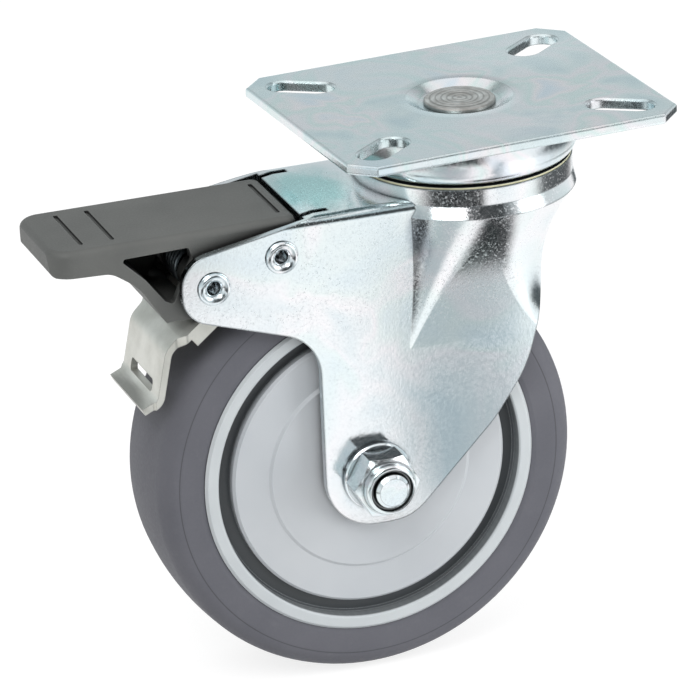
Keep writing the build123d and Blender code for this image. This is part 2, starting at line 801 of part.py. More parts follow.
with BuildPart() as axle_bolt:
    with BuildSketch(Plane(origin=(axle_x, washer_face, axle_z), x_dir=(1, 0, 0), z_dir=(0, 1, 0))):
        RegularPolygon(hex_radius, 6, major_radius=False)
    extrude(amount=bolt_head_height)
    with BuildSketch(wheel_section):
        with BuildLine():
            Polyline(
                (0, washer_face),
                (hex_radius + 3, washer_face),
                (hex_radius + 3, washer_face + bolt_head_height - 2.4),
                (hex_radius - 0.6, washer_face + bolt_head_height),
                (0, washer_face + bolt_head_height),
                close=True,
            )
        make_face()
    revolve(axis=axle_axis, mode=Mode.INTERSECT)
    with BuildSketch(wheel_section):
        with BuildLine():
            Polyline(
                (0, washer_face),
                (bolt_radius, washer_face),
                (bolt_radius, 0.9 - collar_face - bolt_projection),
                (bolt_radius - 0.9, -collar_face - bolt_projection),
                (0, -collar_face - bolt_projection),
                close=True,
            )
        make_face()
    revolve(axis=axle_axis)

# ---------------------------------------------------------------- brake
rivets = []
bushes = []
for rivet_x, rivet_z in ((rear_rivet_x, rear_rivet_z), (front_rivet_x, front_rivet_z)):
    rivet_axis = Axis((rivet_x, 0, rivet_z), (0, 1, 0))
    rivet_section = Plane(origin=(rivet_x, 0, rivet_z), x_dir=(1, 0, 0), z_dir=(0, 0, 1))
    head_face = cheek_face + rivet_head_height
    with BuildPart() as rivet:
        with BuildSketch(rivet_section):
            with BuildLine():
                Line((0, 0), (0, cheek_face - 7))
                Line((0, cheek_face - 7), (rivet_bore, cheek_face - 6))
                Line((rivet_bore, cheek_face - 6), (rivet_bore, cheek_face - 0.4))
                roll = ThreePointArc(
                    (rivet_bore, cheek_face - 0.4),
                    (rivet_bore + 0.9, head_face - 0.55),
                    (rivet_bore + 1.9, head_face),
                )
                ThreePointArc(
                    roll @ 1,
                    (rivet_head_radius - 0.25, head_face - 0.45),
                    (rivet_head_radius, cheek_face),
                )
                Polyline((rivet_head_radius, cheek_face), (rivet_radius, cheek_face), (rivet_radius, 0))
                Line((rivet_radius, 0), (0, 0))
            make_face()
            mirror(about=Plane.XZ)
        revolve(axis=rivet_axis)
    rivets.append(rivet.part)
    with BuildPart() as bush:
        with BuildSketch(rivet_section):
            with Locations(((rivet_radius + rivet_clearance + bush_radius) / 2, 0)):
                Rectangle(bush_radius - rivet_radius - rivet_clearance, fork_inner_width)
        revolve(axis=rivet_axis)
    bushes.append(bush.part)
rear_rivet = rivets[0]
front_rivet = rivets[1]
pedal_bush = bushes[0]
arm_bush = bushes[1]

pedal_top = -pedal_top_drop
slab_under = pedal_top - pedal_slab
foot_z = rear_rivet_z - pedal_foot
foot_left = rear_rivet_x - 12.6
foot_right = rear_rivet_x - 3.4
knee = (rear_rivet_x - 20.0, rear_rivet_z + 1.9)
nose_under = (rear_rivet_x - 27.5, pedal_top - pedal_nose_height - 0.6)
nose_low = (-pedal_end + 0.7, pedal_top - pedal_nose_height)
wall_foot = (rear_rivet_x + 1.4, rear_rivet_z - pedal_hub_radius - 0.2)
wall_hub = (rear_rivet_x + 4.7, rear_rivet_z - 3.0)
wall_side = (rear_rivet_x + 6.0, rear_rivet_z + 1.2)
wall_top = (rear_rivet_x + 10.5, slab_under - 2.0)
wall_end = (rear_rivet_x + 14.5, slab_under)
cavity_z = slab_under

with BuildPart() as brake_pedal:
    # plan of the foot plate with its rounded upper edge, then the side profile
    with BuildSketch(Plane.XY.offset(pedal_top)):
        with BuildLine():
            FilletPolyline(
                (-pedal_end, -pedal_half_width),
                (-pedal_end, pedal_half_width),
                (pedal_inner_end, pedal_half_width),
                (pedal_inner_end, -pedal_half_width),
                radius=[pedal_plan_radius, pedal_plan_radius, pedal_inner_radius, pedal_inner_radius],
                close=True,
            )
        make_face()
    extrude(amount=-(pedal_foot + rear_rivet_drop))
    fillet(brake_pedal.faces().sort_by(Axis.Z)[-1].edges(), pedal_edge_radius)
    with BuildSketch(Plane.XZ):
        with BuildLine():
            FilletPolyline(
                (-pedal_end, pedal_top + 1),
                (-pedal_end, pedal_top),
                nose_low,
                nose_under,
                knee,
                (foot_left, foot_z),
                (foot_right, foot_z),
                wall_foot,
                wall_hub,
                wall_side,
                wall_top,
                wall_end,
                (pedal_inner_end + 1, slab_under),
                (pedal_inner_end + 1, pedal_top + 1),
                radius=[0, 0, 1.5, 7, 18, 0.8, 0.8, 2, 2, 2, 2, 3, 0, 0],
                close=True,
            )
        make_face()
    extrude(amount=pedal_half_width + 1, both=True, mode=Mode.INTERSECT)
    # hollow underneath, open towards the fork
    with BuildSketch(Plane.XZ):
        with BuildLine():
            FilletPolyline(
                (-pedal_end + pedal_wall + 1.5, slab_under),
                (-pedal_end + pedal_wall + 2.0, nose_low[1] + pedal_wall - 0.4),
                (nose_under[0] + 1.4, nose_under[1] + pedal_wall),
                (knee[0] + 2.9, knee[1] + 0.6),
                (foot_left + 2.2, foot_z + 4.2),
                (foot_right - 1.4, foot_z + 4.2),
                (foot_right + 0.4, foot_z - 1.0),
                (rear_rivet_x + 20, foot_z - 1.0),
                (rear_rivet_x + 20, slab_under),
                radius=[0, 0.8, 5, 12, 1, 0, 0, 0, 0],
                close=True,
            )
        make_face()
    extrude(amount=pedal_half_width - pedal_wall, both=True, mode=Mode.SUBTRACT)
    # barrel round the rear rivet in two halves, with the spring between them
    for side in (-1, 1):
        with BuildSketch(across(side * spring_bay)):
            with Locations((rear_rivet_x, rear_rivet_z)):
                Circle(pedal_hub_radius)
            with Locations((rear_rivet_x - 1.2, (rear_rivet_z + slab_under) / 2)):
                Rectangle(2.4, slab_under - rear_rivet_z + 0.5)
        extrude(amount=-side * (pedal_half_width - spring_bay))
    # openings in the side walls
    with BuildSketch(Plane.XZ):
        with BuildLine():
            FilletPolyline(
                (rear_rivet_x - 25.2, slab_under - 1.0),
                (rear_rivet_x - 5.2, slab_under - 0.6),
                (rear_rivet_x - 4.0, rear_rivet_z + 7.6),
                (rear_rivet_x - 10.2, rear_rivet_z - 4.6),
                (rear_rivet_x - 12.6, rear_rivet_z - 3.4),
                (rear_rivet_x - 18.0, rear_rivet_z + 3.8),
                radius=[0.8, 0.8, 1.5, 0.9, 1.2, 8],
                close=True,
            )
        make_face()
    extrude(amount=pedal_half_width + 1, both=True, mode=Mode.SUBTRACT)
    # treads across the top
    with BuildSketch(Plane.XY.offset(pedal_top - tread_groove_depth)):
        for groove_x in (-pedal_end + 10.4, -pedal_end + 19.4, pedal_inner_end - 4.0):
            with Locations((groove_x, 0)):
                SlotOverall(2 * tread_groove_half, tread_groove_width, rotation=90)
    extrude(amount=tread_groove_depth + 1, mode=Mode.SUBTRACT)
    with BuildSketch(Plane.XZ):
        with Locations((rear_rivet_x, rear_rivet_z)):
            Circle(bush_radius + bush_clearance)
    extrude(amount=pedal_half_width + 1, both=True, mode=Mode.SUBTRACT)

# torsion spring round the rear bush: one leg on the front bush, one under the foot plate
wire_radius = spring_wire / 2
leg_a = (front_rivet_x + 0.5 - rear_rivet_x, front_rivet_z + bush_radius + wire_radius + 0.45 - rear_rivet_z)
leg_b = (-16.0, slab_under - wire_radius - 0.3 - rear_rivet_z)
reach_a = sqrt(leg_a[0] ** 2 + leg_a[1] ** 2)
reach_b = sqrt(leg_b[0] ** 2 + leg_b[1] ** 2)
angle_a = degrees(atan2(leg_a[1], leg_a[0])) + degrees(acos(spring_coil_radius / reach_a))
angle_b = degrees(atan2(leg_b[1], leg_b[0])) - degrees(acos(spring_coil_radius / reach_b))
coil_angle = 360 * (spring_turns - 1) + (angle_b - angle_a) % 360
coil_length = spring_pitch * coil_angle / 360
length_a = sqrt(reach_a**2 - spring_coil_radius**2)
length_b = sqrt(reach_b**2 - spring_coil_radius**2)

with BuildPart() as coil:
    with BuildLine() as coil_line:
        Helix(spring_pitch, coil_length, spring_coil_radius)
    with BuildSketch(Plane(origin=coil_line.line @ 0, z_dir=coil_line.line % 0)):
        Circle(wire_radius)
    sweep(is_frenet=True)
    with BuildSketch(Plane(origin=coil_line.line @ 0, z_dir=coil_line.line % 0)):
        Circle(wire_radius)
    extrude(amount=-length_a)
    with BuildSketch(Plane(origin=coil_line.line @ 1, z_dir=coil_line.line % 1)):
        Circle(wire_radius)
    extrude(amount=length_b)

# least gap between turns, on points of the path that lie more than half a turn apart
coil_points = [coil_line.line @ (i / 240) for i in range(241)]
half_turn = int(240 * 180 / coil_angle) + 1
turn_gaps = [
    (coil_points[i] - coil_points[j]).length - spring_wire
    for i in range(241)
    for j in range(i + half_turn, 241)
]
print("pedal_spring: least gap between turns", round(min(turn_gaps), 3), "mm")

coil_place = Location((rear_rivet_x, coil_length / 2, rear_rivet_z), (90, 0, 0))
pedal_spring = coil_place * Location((0, 0, 0), (0, 0, angle_a)) * coil.part

# ---- arm that carries both brakes
slope = radians(arm_slope)
ramp_x = rear_rivet_x + sin(slope) * (pedal_hub_radius + arm_gap)
ramp_z = rear_rivet_z - cos(slope) * (pedal_hub_radius + arm_gap)
ramp_low = (rear_rivet_x - 8.8, ramp_z - tan(slope) * (ramp_x - rear_rivet_x + 8.8))
web_start_z = front_rivet_z - arm_web_drop - 0.9
web_start = (ramp_x + (web_start_z - ramp_z) / tan(slope), web_start_z)
toe_top = (rear_rivet_x - 12.9, rear_rivet_z - 19.2)
toe_low = (rear_rivet_x - 15.9, rear_rivet_z - 33.6)
lip_tip = (rear_rivet_x - 20.2, rear_rivet_z - 35.6)
tongue_tip = (tongue_tip_x, -tongue_tip_drop)
strip_low = (ramp_low[0] + 1.5, ramp_low[1] + 1.2)
strip_mid = (ramp_x + 2.2, ramp_z + 2.2 * tan(slope))
half_flange = arm_flange / 2
normal_x = sin(slope)
normal_z = -cos(slope)

with BuildPart() as brake_arm:
    with BuildSketch(Plane.XZ):
        with BuildLine():
            FilletPolyline(
                lip_tip,
                toe_low,
                toe_top,
                ramp_low,
                web_start,
                tongue_tip,
                radius=[3.0, 6.0, 4.0, 8.0],
            )
            offset(amount=arm_sheet, side=Side.RIGHT, mode=Mode.ADD)
        make_face()
    extrude(amount=arm_half_width, both=True)
    # plan outline of the sheet
    with BuildSketch(Plane.XY.offset(-axle_drop)) as arm_plan:
        with BuildLine():
            FilletPolyline(
                (lip_tip[0] - 3, -lip_half_width),
                (toe_low[0] - 1.0, -lip_half_width),
                (toe_low[0] - 0.4, -arm_toe_half_width),
                (ramp_low[0] - 0.6, -arm_toe_half_width),
                (ramp_low[0] + 1.4, -arm_half_width),
                (front_rivet_x + 5.5, -arm_half_width),
                (front_rivet_x + 12, -tongue_half_width),
                (tongue_tip_x + 1, -tongue_half_width),
                (tongue_tip_x + 1, tongue_half_width),
                (front_rivet_x + 12, tongue_half_width),
                (front_rivet_x + 5.5, arm_half_width),
                (ramp_low[0] + 1.4, arm_half_width),
                (ramp_low[0] - 0.6, arm_toe_half_width),
                (toe_low[0] - 0.4, arm_toe_half_width),
                (toe_low[0] - 1.0, lip_half_width),
                (lip_tip[0] - 3, lip_half_width),
                radius=[0, 0.2, 0.2, 1, 1, 3, 4, 0, 0, 4, 3, 1, 1, 0.2, 0.2, 0],
                close=True,
            )
        make_face()
    extrude(amount=axle_drop, mode=Mode.INTERSECT)
    # side plates with the eyes for the front rivet
    for side in (-1, 1):
        with BuildSketch(across(side * arm_half_width)):
            with BuildLine():
                Polyline(
                    strip_low,
                    strip_mid,
                    (strip_mid[0] + normal_x * arm_flange, strip_mid[1] + normal_z * arm_flange),
                    (strip_low[0] + normal_x * arm_flange, strip_low[1] + normal_z * arm_flange),
                    close=True,
                )
            make_face()
        extrude(amount=side * arm_sheet)
        with BuildSketch(across(side * arm_half_width)):
            with BuildSketch(mode=Mode.PRIVATE) as eye_shape:
                with Locations((front_rivet_x, front_rivet_z)):
                    Circle(arm_eye_radius)
                with Locations(
                    (strip_mid[0] + normal_x * half_flange, strip_mid[1] + normal_z * half_flange),
                    (front_rivet_x + 4.5, front_rivet_z - arm_web_drop),
                ):
                    Circle(half_flange)
            make_hull(eye_shape.sketch.edges())
        extrude(amount=side * arm_sheet)
    # slot above the lip
    slot_mid = (toe_low[0] + 0.36, toe_low[1] + 2.6)
    with BuildSketch(Plane(origin=(slot_mid[0] - 4, 0, slot_mid[1]), x_dir=(0, 1, 0), z_dir=(1, 0, 0))):
        RectangleRounded(arm_window_length, arm_window_height, 1.2)
    extrude(amount=12, mode=Mode.SUBTRACT)
    # teeth on the tongue
    for tooth_y in (-0.6 * tongue_half_width, 0, 0.6 * tongue_half_width):
        with BuildSketch(across(tooth_y)):
            with Locations((tongue_tip_x - 1.6, -tongue_tip_drop + tongue_tooth / 2 - 0.3)):
                Rectangle(3.2, tongue_tooth + 0.6)
        extrude(amount=1.2, both=True)
    with BuildSketch(Plane.XZ):
        with Locations((front_rivet_x, front_rivet_z)):
            Circle(bush_radius + bush_clearance)
    extrude(amount=arm_half_width + 1, both=True, mode=Mode.SUBTRACT)

# ---------------------------------------------------------------- files
top_plate.part.label = "top_plate"
upper_race.part.label = "upper_race"
kingpin.part.label = "kingpin"
lock_ring.part.label = "lock_ring"
upper_balls.part.label = "upper_balls"
lower_balls.part.label = "lower_balls"
race_seal.part.label = "race_seal"
fork.part.label = "fork"
tyre.part.label = "tyre"
wheel_core.part.label = "wheel_core"
hub_cover_near.label = "hub_cover_near"
hub_cover_far.label = "hub_cover_far"
bearing_inner_rings.part.label = "bearing_inner_rings"
bearing_outer_rings.part.label = "bearing_outer_rings"
bearing_balls.part.label = "bearing_balls"
bearing_shields.part.label = "bearing_shields"
axle_sleeve.part.label = "axle_sleeve"
axle_spacers.part.label = "axle_spacers"
axle_washers.part.label = "axle_washers"
axle_nut.part.label = "axle_nut"
nut_insert.part.label = "nut_insert"
axle_bolt.part.label = "axle_bolt"
rear_rivet.label = "rear_rivet"
front_rivet.label = "front_rivet"
pedal_bush.label = "pedal_bush"
arm_bush.label = "arm_bush"
brake_pedal.part.label = "brake_pedal"
pedal_spring.label = "pedal_spring"
brake_arm.part.label = "brake_arm"

export_step(top_plate.part, "parts/top_plate.step")
export_step(upper_race.part, "parts/upper_race.step")
export_step(kingpin.part, "parts/kingpin.step")
export_step(lock_ring.part, "parts/lock_ring.step")
export_step(upper_balls.part, "parts/upper_balls.step")
export_step(lower_balls.part, "parts/lower_balls.step")
export_step(race_seal.part, "parts/race_seal.step")
export_step(fork.part, "parts/fork.step")
export_step(tyre.part, "parts/tyre.step")
export_step(wheel_core.part, "parts/wheel_core.step")
export_step(hub_cover_near, "parts/hub_cover_near.step")
export_step(hub_cover_far, "parts/hub_cover_far.step")
export_step(bearing_inner_rings.part, "parts/bearing_inner_rings.step")
export_step(bearing_outer_rings.part, "parts/bearing_outer_rings.step")
export_step(bearing_balls.part, "parts/bearing_balls.step")
export_step(bearing_shields.part, "parts/bearing_shields.step")
export_step(axle_sleeve.part, "parts/axle_sleeve.step")
export_step(axle_spacers.part, "parts/axle_spacers.step")
export_step(axle_washers.part, "parts/axle_washers.step")
export_step(axle_nut.part, "parts/axle_nut.step")
export_step(nut_insert.part, "parts/nut_insert.step")
export_step(axle_bolt.part, "parts/axle_bolt.step")
export_step(rear_rivet, "parts/rear_rivet.step")
export_step(front_rivet, "parts/front_rivet.step")
export_step(pedal_bush, "parts/pedal_bush.step")
export_step(arm_bush, "parts/arm_bush.step")
export_step(brake_pedal.part, "parts/brake_pedal.step")
export_step(pedal_spring, "parts/pedal_spring.step")
export_step(brake_arm.part, "parts/brake_arm.step")
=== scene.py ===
import math

import bpy
from mathutils import Matrix, Vector


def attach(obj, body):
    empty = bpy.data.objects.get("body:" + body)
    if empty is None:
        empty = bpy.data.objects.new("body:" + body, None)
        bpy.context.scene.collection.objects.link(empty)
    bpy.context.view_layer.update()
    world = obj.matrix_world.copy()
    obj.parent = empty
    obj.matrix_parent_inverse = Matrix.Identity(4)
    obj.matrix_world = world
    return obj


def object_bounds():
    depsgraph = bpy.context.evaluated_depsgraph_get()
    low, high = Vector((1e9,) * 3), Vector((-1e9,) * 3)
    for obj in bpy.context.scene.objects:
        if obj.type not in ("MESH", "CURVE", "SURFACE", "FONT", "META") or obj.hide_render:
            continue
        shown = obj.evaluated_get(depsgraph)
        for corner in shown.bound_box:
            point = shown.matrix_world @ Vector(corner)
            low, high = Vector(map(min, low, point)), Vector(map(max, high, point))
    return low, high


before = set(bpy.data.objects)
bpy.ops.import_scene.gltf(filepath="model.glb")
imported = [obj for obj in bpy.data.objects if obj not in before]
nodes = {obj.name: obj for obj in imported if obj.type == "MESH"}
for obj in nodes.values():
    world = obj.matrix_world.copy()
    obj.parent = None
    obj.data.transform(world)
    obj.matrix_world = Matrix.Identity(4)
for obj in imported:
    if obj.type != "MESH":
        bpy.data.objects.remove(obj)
cadBox = [list(corner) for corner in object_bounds()]
print("frame loaded:", len(nodes), "nodes")


camera = {
    "azimuth": -18.913,      # degrees
    "elevation": 21.895,
    "roll": -2.477,
    "distance": 1.6855,      # metres, camera to target
    "target": (-0.03693, -0.00223, -0.06903),
    "lens": 309.025,         # millimetres, as the sensor
    "sensor": 36,
}


def placeCamera(look):
    azimuth, elevation, roll = (math.radians(look[k]) for k in ("azimuth", "elevation", "roll"))
    flat = math.cos(elevation)
    back = Vector((math.sin(azimuth) * flat, -math.cos(azimuth) * flat, math.sin(elevation)))
    level = Vector((math.cos(azimuth), math.sin(azimuth), 0))
    steep = back.cross(level)
    right = math.cos(roll) * level + math.sin(roll) * steep
    up = -math.sin(roll) * level + math.cos(roll) * steep
    data = bpy.data.cameras.new("shotCamera")
    data.lens = look["lens"]
    data.sensor_width = look["sensor"]
    shot = bpy.data.objects.new("shotCamera", data)
    bpy.context.scene.collection.objects.link(shot)
    turn = Matrix((right, up, back)).transposed().to_4x4()
    shot.matrix_world = Matrix.Translation(Vector(look["target"]) + back * look["distance"]) @ turn
    bpy.context.scene.camera = shot


placeCamera(camera)
print("camera placed")


def startMaterial(name):
    mat = bpy.data.materials.new(name)
    mat.use_nodes = True
    return mat, mat.node_tree, mat.node_tree.nodes["Principled BSDF"]


def addNode(tree, kind, settings=None, sockets=None):
    node = tree.nodes.new("ShaderNode" + kind)
    for key, value in (settings or {}).items():
        setattr(node, key, value)
    for key, value in (sockets or {}).items():
        if isinstance(value, bpy.types.NodeSocket):
            tree.links.new(value, node.inputs[key])
        else:
            node.inputs[key].default_value = value
    return node


def objectPlace(tree, centre=(0, 0, 0), scale=(1, 1, 1)):   # object coordinates about a point
    coords = addNode(tree, "TexCoord").outputs["Object"]
    sockets = {"Vector": coords, "Location": centre, "Scale": scale}
    return addNode(tree, "Mapping", {"vector_type": "TEXTURE"}, sockets).outputs["Vector"]


def grain(tree, place, size, detail, rough, warp=0.0):
    sockets = {"Vector": place, "Scale": 1 / size, "Detail": detail, "Roughness": rough, "Distortion": warp}
    return addNode(tree, "TexNoise", {}, sockets).outputs["Fac"]


def spread(tree, value, low, high, start=0.0, end=1.0):
    sockets = {"Value": value, "From Min": low, "From Max": high, "To Min": start, "To Max": end}
    return addNode(tree, "MapRange", {"clamp": True}, sockets).outputs["Result"]


def smoothSpread(tree, value, low, high):   # 0 at low and 1 at high, with soft ends
    sockets = {"Value": value, "From Min": low, "From Max": high}
    return addNode(tree, "MapRange", {"interpolation_type": "SMOOTHSTEP"}, sockets).outputs["Result"]


def blendColour(tree, amount, first, second, kind="MIX"):
    node = tree.nodes.new("ShaderNodeMix")
    node.data_type = "RGBA"
    node.blend_type = kind
    pairs = ((node.inputs["Factor"], amount), (node.inputs[6], first), (node.inputs[7], second))
    for socket, value in pairs:
        if isinstance(value, bpy.types.NodeSocket):
            tree.links.new(value, socket)
        elif isinstance(value, tuple):
            socket.default_value = (*value, 1)
        else:
            socket.default_value = value
    return node.outputs[2]


def colourSteps(tree, value, steps):
    node = addNode(tree, "ValToRGB", {}, {"Fac": value})
    ramp = node.color_ramp
    while len(ramp.elements) < len(steps):
        ramp.elements.new(0.5)
    for element, (place, colour) in zip(ramp.elements, steps):
        element.position = place
        element.color = (*colour, 1)
    return node.outputs["Color"]


def raised(tree, height, depth, strength, under):
    sockets = {"Height": height, "Distance": depth, "Strength": strength, "Normal": under}
    return addNode(tree, "Bump", {}, sockets).outputs["Normal"]


def combine(tree, kind, first, second):
    return addNode(tree, "Math", {"operation": kind}, {0: first, 1: second}).outputs[0]


edgeSamples = {"soft": 4, "sharp": 6}
edgeShows = (0.995, 0.88)   # how well rounded and plain normals agree, on a face and on an edge
recessSamples = 8
recessShows = (0.75, 0.35)   # openness where painted recess shade starts to show, and where it is darkest
patchEdge = {"grain": (0.5, 4.0, 0.6), "wobble": 0.35, "core": 0.35}   # against the patch's size


def softEdges(tree, radius, samples=edgeSamples["soft"]):
    return addNode(tree, "Bevel", {"samples": samples}, {"Radius": radius}).outputs["Normal"]


def sharpEdges(tree, radius):   # 1 along a sharp edge, 0 on open faces
    soft = softEdges(tree, radius, edgeSamples["sharp"])
    plain = addNode(tree, "NewGeometry").outputs["Normal"]
    match = addNode(tree, "VectorMath", {"operation": "DOT_PRODUCT"}, {0: soft, 1: plain}).outputs["Value"]
    return spread(tree, match, *edgeShows)


def recessShadeMask(tree, depth):   # 1 in a corner or a hole, 0 in the open: where painted shade goes
    shade = addNode(tree, "AmbientOcclusion", {"samples": recessSamples}, {"Distance": depth})
    return spread(tree, shade.outputs["AO"], *recessShows)


def patch(tree, centre, size):   # soft-edged patch round a point
    place = objectPlace(tree, centre, size)
    far = addNode(tree, "VectorMath", {"operation": "LENGTH"}, {0: place}).outputs["Value"]
    wobble = patchEdge["wobble"]
    ragged = combine(tree, "MULTIPLY", grain(tree, place, *patchEdge["grain"]), wobble * 2)
    return smoothSpread(tree, combine(tree, "ADD", far, ragged), 1.0 + wobble, patchEdge["core"] + wobble)


# colour patches: real stains, and also painted highlights and shade on the plate and fork
def addStainsAndPaintedLight(tree, colour, look):
    for colourPatch in look.get("stainsAndPaintedLight", []):
        mask = combine(tree, "MULTIPLY", patch(tree, colourPatch["centre"], colourPatch["size"]), colourPatch["amount"])
        colour = blendColour(tree, mask, colour, colourPatch["colour"])
    return colour


def addEdges(tree, colour, look):
    edges = combine(tree, "MULTIPLY", sharpEdges(tree, look["edgeWidth"]), look["edgeAmount"])
    return blendColour(tree, edges, colour, look["edgeColour"])


def paint(nodeNames, mat):
    for name in nodeNames:
        mesh = nodes[name].data
        mesh.materials.clear()
        mesh.materials.append(mat)


def radiusFrom(tree, centre, plane="XY"):   # distance from an upright axis, or from the axle with "XZ"
    parts = addNode(tree, "SeparateXYZ", {}, {"Vector": objectPlace(tree, centre)})
    across, along = (combine(tree, "MULTIPLY", parts.outputs[k], parts.outputs[k]) for k in plane)
    return addNode(tree, "Math", {"operation": "SQRT"}, {0: combine(tree, "ADD", across, along)}).outputs[0]


zincGrain = {   # detail, roughness and warp of each noise
    "clouds": (2.5, 0.5, 0.6),
    "veil": (2.0, 0.5, 0.4),
    "fine": (4.0, 0.65),
    "specks": (2.0, 0.6),
    "crystals": (2.0, 0.7),
    "crystalDrift": (2.0, 0.5),
}
zincShows = {   # the range of each noise that shows
    "veil": (0.42, 0.62),
    "fine": (0.35, 0.68),
    "specks": (0.60, 0.78),
    "crystals": (0.56, 0.66),
    "crystalDrift": (0.36, 0.54),
}
zincVeil = {"centre": (0.3, 0.1, 0.2), "scale": 2.3}   # its own place, and its scale against the clouds
zincStrength = {"dimple": 1.0, "fine": 0.6, "specks": 0.5}   # of each bump


def sparkleMask(tree, place, look):   # coarse zinc crystals, none below low and all above high
    crystals = grain(tree, place, look["size"], *zincGrain["crystals"])
    drift = grain(tree, place, look["driftSize"], *zincGrain["crystalDrift"])
    crystals = spread(tree, crystals, *zincShows["crystals"])
    drift = spread(tree, drift, *zincShows["crystalDrift"])
    height = addNode(tree, "SeparateXYZ", {}, {"Vector": objectPlace(tree)}).outputs["Z"]
    upper = smoothSpread(tree, height, look["low"], look["high"])
    mask = combine(tree, "MULTIPLY", combine(tree, "MULTIPLY", crystals, drift), upper)
    return combine(tree, "MULTIPLY", mask, look["amount"])


def makeZinc(name, look):
    mat, tree, shader = startMaterial(name)
    place = objectPlace(tree, look["centre"])
    clouds = grain(tree, place, look["cloudSize"], *zincGrain["clouds"])
    veilPlace = objectPlace(tree, zincVeil["centre"])
    drift = grain(tree, veilPlace, look["cloudSize"] * zincVeil["scale"], *zincGrain["veil"])
    fine = grain(tree, place, look["spangle"], *zincGrain["fine"])
    specks = grain(tree, place, look["speck"], *zincGrain["specks"])
    tint = colourSteps(tree, clouds, look["tints"])
    veil = spread(tree, drift, *zincShows["veil"], 0.0, look["veilAmount"])
    tint = blendColour(tree, veil, tint, look["veil"])
    speckled = spread(tree, specks, *zincShows["specks"], 0.0, look["speckAmount"])
    tint = blendColour(tree, speckled, tint, look["speckColour"], "MULTIPLY")
    tint = addStainsAndPaintedLight(tree, tint, look)
    tint = addEdges(tree, tint, look)
    # painted shade: darker in corners, holes and recesses
    dirtAndPaintedShade = combine(tree, "MULTIPLY", recessShadeMask(tree, look["recessDepth"]), look["recessShadeAmount"])
    tint = blendColour(tree, dirtAndPaintedShade, tint, look["recessShadeColour"])
    tree.links.new(tint, shader.inputs["Base Color"])
    rough = spread(tree, fine, *zincShows["fine"], look["roughLow"], look["roughHigh"])
    if "sparkle" in look:
        rough = combine(tree, "ADD", rough, sparkleMask(tree, place, look["sparkle"]))
    tree.links.new(rough, shader.inputs["Roughness"])
    shader.inputs["Metallic"].default_value = look["metallic"]
    bump = softEdges(tree, look["edge"])
    if "dimple" in look:
        inner, outer, depth = look["dimple"]
        ring = smoothSpread(tree, radiusFrom(tree, (0, 0, 0)), inner, outer)
        bump = raised(tree, ring, depth, zincStrength["dimple"], bump)
    bump = raised(tree, fine, look["spangleDepth"], zincStrength["fine"], bump)
    bump = raised(tree, specks, look["speckDepth"], zincStrength["specks"], bump)
    tree.links.new(bump, shader.inputs["Normal"])
    return mat


plateZinc = {
    "centre": (0.02, 0.01, 0.0),
    "cloudSize": 0.024,
    "spangle": 0.0016,
    "speck": 0.0008,
    "tints": [
        (0.32, (0.58, 0.70, 0.74)),
        (0.42, (0.70, 0.79, 0.80)),
        (0.48, (0.81, 0.80, 0.83)),
        (0.54, (0.67, 0.79, 0.78)),
        (0.60, (0.84, 0.81, 0.83)),
        (0.68, (0.68, 0.76, 0.83)),
    ],
    "veil": (0.66, 0.80, 0.82),
    "veilAmount": 0.45,
    "speckAmount": 0.10,
    "speckColour": (0.72, 0.76, 0.80),
    "roughLow": 0.20,
    "roughHigh": 0.30,
    "metallic": 1.0,
    "spangleDepth": 0.000012,
    "speckDepth": 0.000003,
    "edge": 0.0005,
    "edgeWidth": 0.0007,
    "edgeAmount": 0.75,
    "edgeColour": (0.30, 0.33, 0.34),
    # painted shade, darkest round the kingpin head and in other recesses
    "recessDepth": 0.005,
    "recessShadeAmount": 0.9,
    "recessShadeColour": (0.10, 0.12, 0.13),
    # lighter patches: the first is a painted highlight, the plate lighter towards its right side; the
    # second is a lighter patch near the front edge
    "stainsAndPaintedLight": [
        {
            "centre": (0.030, 0.030, 0.0),
            "size": (0.030, 0.024, 0.03),
            "amount": 0.45,
            "colour": (0.84, 0.93, 0.95),
        },
        {
            "centre": (0.006, -0.030, 0.0),
            "size": (0.024, 0.014, 0.03),
            "amount": 0.35,
            "colour": (0.90, 0.86, 0.90),
        },
    ],
}
plateDimple = (0.0095, 0.0185, 0.0009)   # inner radius, outer radius and depth round the kingpin

forkZinc = dict(
    plateZinc,
    centre=(0.05, 0.03, 0.01),
    cloudSize=0.030,
    tints=[
        (0.30, (0.70, 0.78, 0.82)),
        (0.43, (0.82, 0.85, 0.87)),
        (0.50, (0.88, 0.87, 0.89)),
        (0.57, (0.80, 0.86, 0.86)),
        (0.70, (0.74, 0.82, 0.86)),
    ],
    sparkle={"size": 0.0006, "driftSize": 0.012, "low": -0.062, "high": -0.046, "amount": 0.30},
    veil=(0.72, 0.82, 0.86),
    veilAmount=0.50,
    roughLow=0.10,
    roughHigh=0.20,
    speckAmount=0.30,
    spangle=0.0008,
    spangleDepth=0.000022,
    edgeWidth=0.0009,
    edgeAmount=0.9,
    edgeColour=(0.16, 0.18, 0.19),
    stainsAndPaintedLight=[   # blue-green passivation on the shelf, and painted shade where the cheek meets the crown
        {
            "centre": (-0.046, 0.0, -0.020),
            "size": (0.016, 0.022, 0.006),
            "amount": 0.85,
            "colour": (0.34, 0.62, 0.62),
        },
        {
            "centre": (-0.022, -0.024, -0.031),
            "size": (0.005, 0.006, 0.010),
            "amount": 0.60,
            "colour": (0.20, 0.24, 0.30),
        },
    ],
)

boltZinc = dict(
    forkZinc,
    cloudSize=0.012,
    spangle=0.0009,
    roughLow=0.14,
    roughHigh=0.26,
    spangleDepth=0.00001,
    speckDepth=0.000004,
    edge=0.0002,
    edgeWidth=0.0004,
    # painted shade in the rivet cups and other recesses
    recessDepth=0.0025,
    recessShadeAmount=0.9,
    recessShadeColour=(0.06, 0.065, 0.06),
    stainsAndPaintedLight=[],
)

